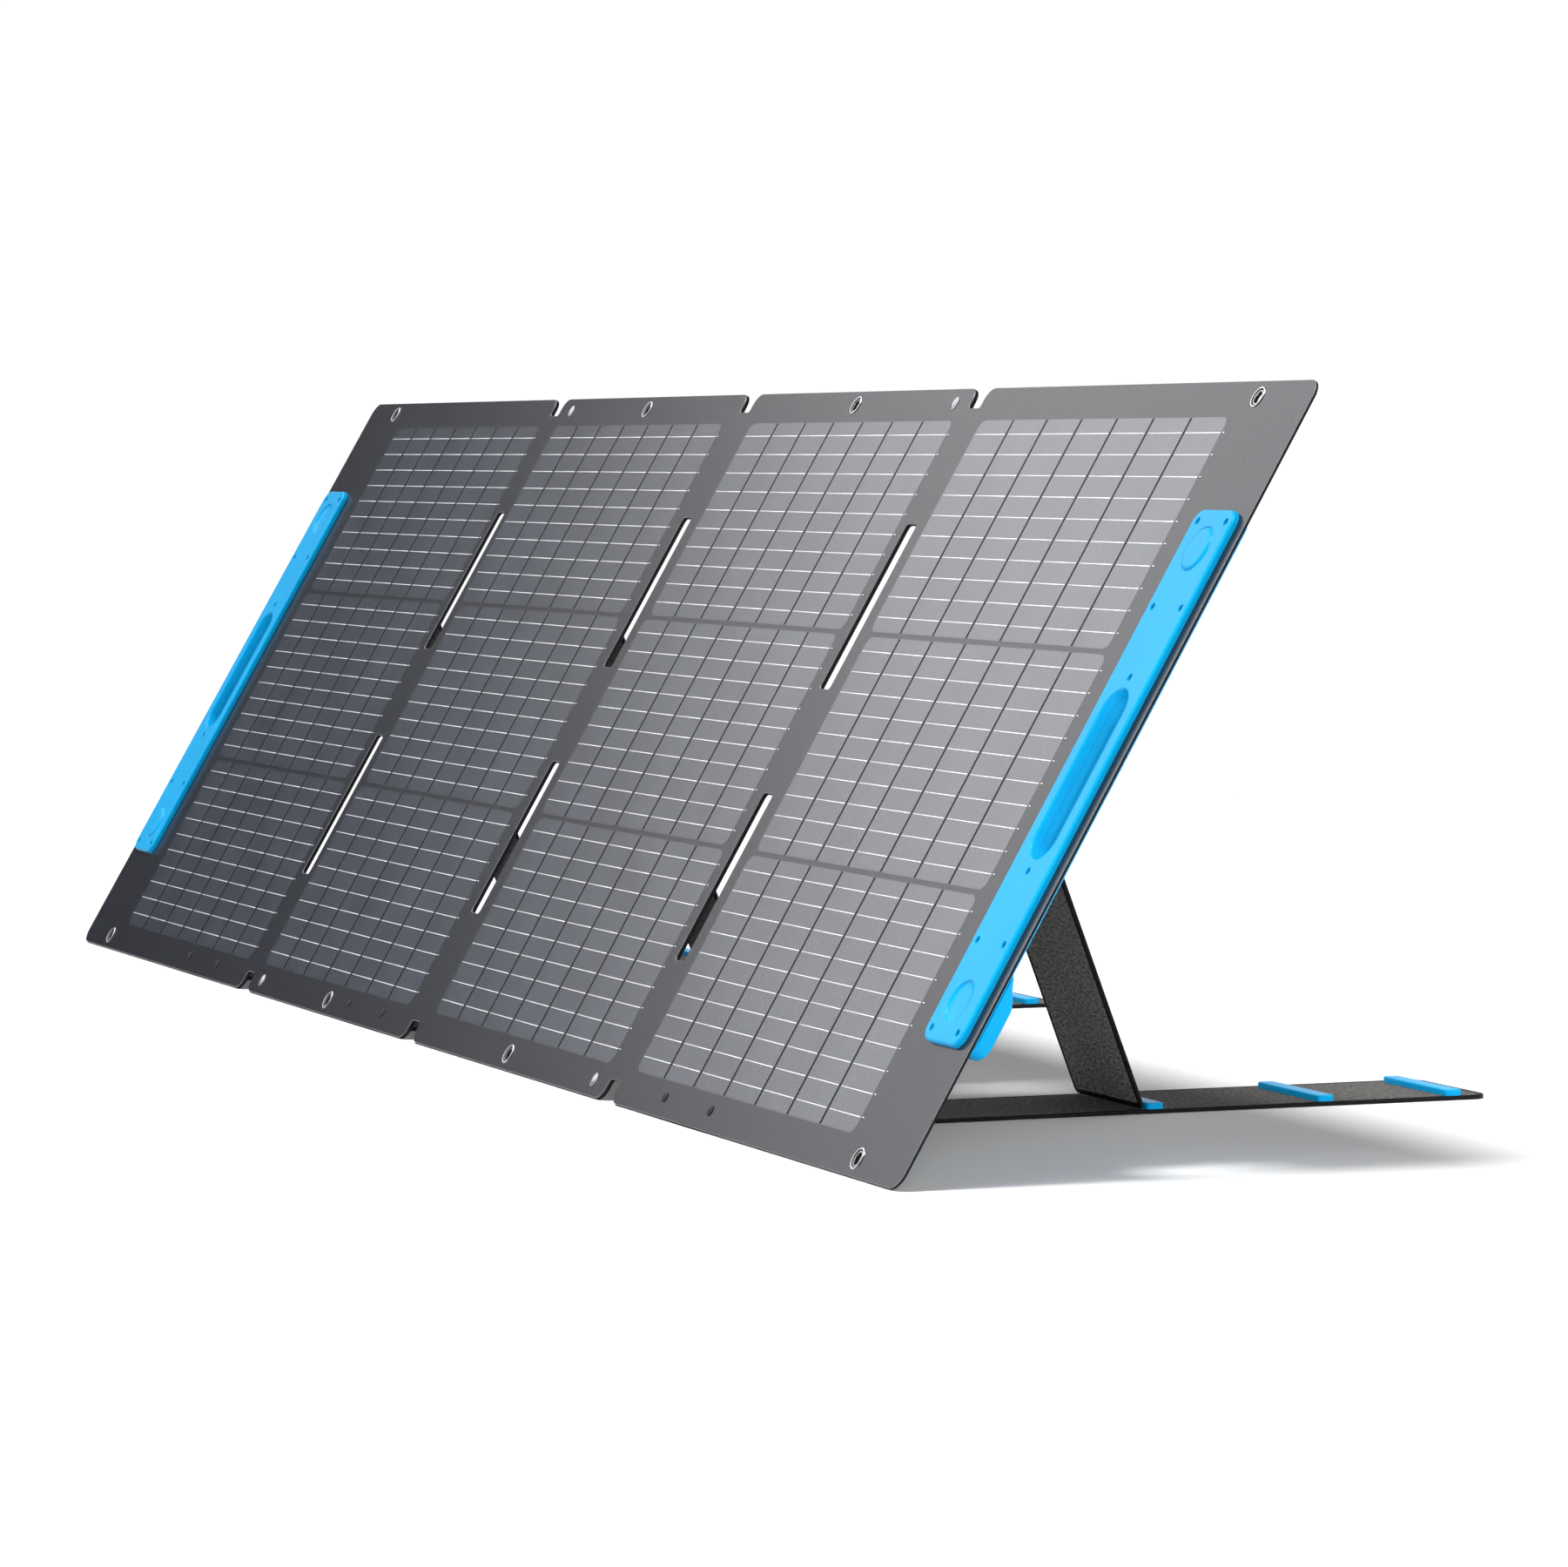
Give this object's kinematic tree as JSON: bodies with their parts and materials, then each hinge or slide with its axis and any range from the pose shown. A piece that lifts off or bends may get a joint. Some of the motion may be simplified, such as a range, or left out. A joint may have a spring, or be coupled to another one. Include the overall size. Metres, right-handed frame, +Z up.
{
  "type": "portable folding solar panel",
  "caption": "Portable folding solar panel of hinged leaves on fold-out stands, with end handles, eyelets and a rear junction box.",
  "frame": {"origin": "on the ground, at the middle of the footprint of the open panel and its stands", "axes": "+X along the row of leaves, +Z up; the cells face -Y and up, leaning back at 60 degrees"},
  "size_m": [2.12, 0.628, 0.5329],
  "materials": {
    "front_laminate": "fine embossed weave",
    "solar_cell": "dark grey-blue silicon under a matt film, silver ribbons",
    "stiffener": "black board",
    "back_fabric": "black woven back cover",
    "handle": "satin sky blue",
    "magnet": "plain",
    "nickel": "polished nickel",
    "stand_fabric": "coarse dark grey cloth over board",
    "circuit": "green circuit board",
    "rubber": "black"
  },
  "bodies": {
    "leaf_1": {"leaf_1_back_cover": "back_fabric", "leaf_1_stiffener": "stiffener", "leaf_1_cells": "solar_cell", "leaf_1_front_laminate": "front_laminate", "leaf_1_eyelet_top": "nickel", "leaf_1_eyelet_bottom": "nickel", "handle_left_front_shell": "handle", "handle_left_rear_shell": "handle", "handle_left_magnet_top": "magnet", "handle_left_magnet_bottom": "magnet", "leaf_1_stand_hinge_tab": "stand_fabric"},
    "leaf_2": {"leaf_2_back_cover": "back_fabric", "leaf_2_stiffener": "stiffener", "leaf_2_cells": "solar_cell", "leaf_2_front_laminate": "front_laminate", "leaf_2_eyelet_top": "nickel", "leaf_2_eyelet_bottom": "nickel", "leaf_2_rivet_cap_top": "nickel", "leaf_2_rivet_cap_bottom": "nickel", "leaf_2_stand_hinge_tab": "stand_fabric"},
    "leaf_3": {"leaf_3_back_cover": "back_fabric", "leaf_3_stiffener": "stiffener", "leaf_3_cells": "solar_cell", "leaf_3_front_laminate": "front_laminate", "leaf_3_eyelet_top": "nickel", "leaf_3_eyelet_bottom": "nickel", "leaf_3_rivet_cap_top": "nickel", "leaf_3_rivet_cap_bottom": "nickel"},
    "leaf_4": {"leaf_4_back_cover": "back_fabric", "leaf_4_stiffener": "stiffener", "leaf_4_cells": "solar_cell", "leaf_4_front_laminate": "front_laminate", "leaf_4_eyelet_top": "nickel", "leaf_4_eyelet_bottom": "nickel", "handle_right_front_shell": "handle", "handle_right_rear_shell": "handle", "handle_right_magnet_top": "magnet", "handle_right_magnet_bottom": "magnet", "junction_box_base": "handle", "junction_box_cover": "handle", "junction_circuit_board": "circuit", "outlet_socket": "rubber", "outlet_seal": "rubber", "leaf_4_stand_hinge_tab": "stand_fabric"},
    "leaf_1_strip": {"leaf_1_stand_strip": "stand_fabric", "leaf_1_stand_bar_1": "handle", "leaf_1_stand_bar_2": "handle", "leaf_1_stand_bar_3": "handle"},
    "leaf_1_leg": {"leaf_1_stand_leg": "stand_fabric"},
    "leaf_2_strip": {"leaf_2_stand_strip": "stand_fabric", "leaf_2_stand_bar_1": "handle", "leaf_2_stand_bar_2": "handle", "leaf_2_stand_bar_3": "handle"},
    "leaf_2_leg": {"leaf_2_stand_leg": "stand_fabric"},
    "leaf_4_strip": {"leaf_4_stand_strip": "stand_fabric", "leaf_4_stand_bar_1": "handle", "leaf_4_stand_bar_2": "handle", "leaf_4_stand_bar_3": "handle"},
    "leaf_4_leg": {"leaf_4_stand_leg": "stand_fabric"}
  },
  "joints": [
    {"name": "fold_2_3", "type": "hinge", "parent": "leaf_2", "child": "leaf_3", "pos_m": [0, -0.15023, 0.26112], "axis": [0, 0.5, 0.866], "range_deg": [0, 180]},
    {"name": "fold_1_2", "type": "hinge", "parent": "leaf_2", "child": "leaf_1", "pos_m": [-0.49, -0.16193, 0.26787], "axis": [0, 0.5, 0.866], "range_deg": [0, 180]},
    {"name": "fold_3_4", "type": "hinge", "parent": "leaf_3", "child": "leaf_4", "pos_m": [0.49, -0.16193, 0.26787], "axis": [0, 0.5, 0.866], "range_deg": [-180, 0]},
    {"name": "strip_1_swing", "type": "hinge", "parent": "leaf_1", "child": "leaf_1_strip", "pos_m": [-0.6475, -0.30946, 0], "axis": [-1, 0, 0], "range_deg": [0, 120]},
    {"name": "leg_1_swing", "type": "hinge", "parent": "leaf_1", "child": "leaf_1_leg", "pos_m": [-0.6475, -0.10711, 0.354], "axis": [-1, 0, 0], "range_deg": [0, 50.57]},
    {"name": "strip_2_swing", "type": "hinge", "parent": "leaf_2", "child": "leaf_2_strip", "pos_m": [-0.1385, -0.30946, 0], "axis": [-1, 0, 0], "range_deg": [0, 120.01]},
    {"name": "leg_2_swing", "type": "hinge", "parent": "leaf_2", "child": "leaf_2_leg", "pos_m": [-0.1385, -0.10711, 0.354], "axis": [-1, 0, 0], "range_deg": [0, 50.57]},
    {"name": "strip_4_swing", "type": "hinge", "parent": "leaf_4", "child": "leaf_4_strip", "pos_m": [0.6475, -0.30946, 0], "axis": [-1, 0, 0], "range_deg": [0, 120]},
    {"name": "leg_4_swing", "type": "hinge", "parent": "leaf_4", "child": "leaf_4_leg", "pos_m": [0.6475, -0.10711, 0.354], "axis": [-1, 0, 0], "range_deg": [0, 50.57]}
  ],
  "couplings": [
    {"joint": "fold_1_2", "follows": "fold_2_3", "ratio": 1},
    {"joint": "fold_3_4", "follows": "fold_2_3", "ratio": -1},
    {"joint": "leg_1_swing", "follows": "strip_1_swing", "ratio": 0.42097},
    {"joint": "strip_2_swing", "follows": "fold_2_3", "ratio": 0.66667},
    {"joint": "leg_2_swing", "follows": "fold_2_3", "ratio": 0.28065},
    {"joint": "leg_4_swing", "follows": "strip_4_swing", "ratio": 0.42097}
  ]
}
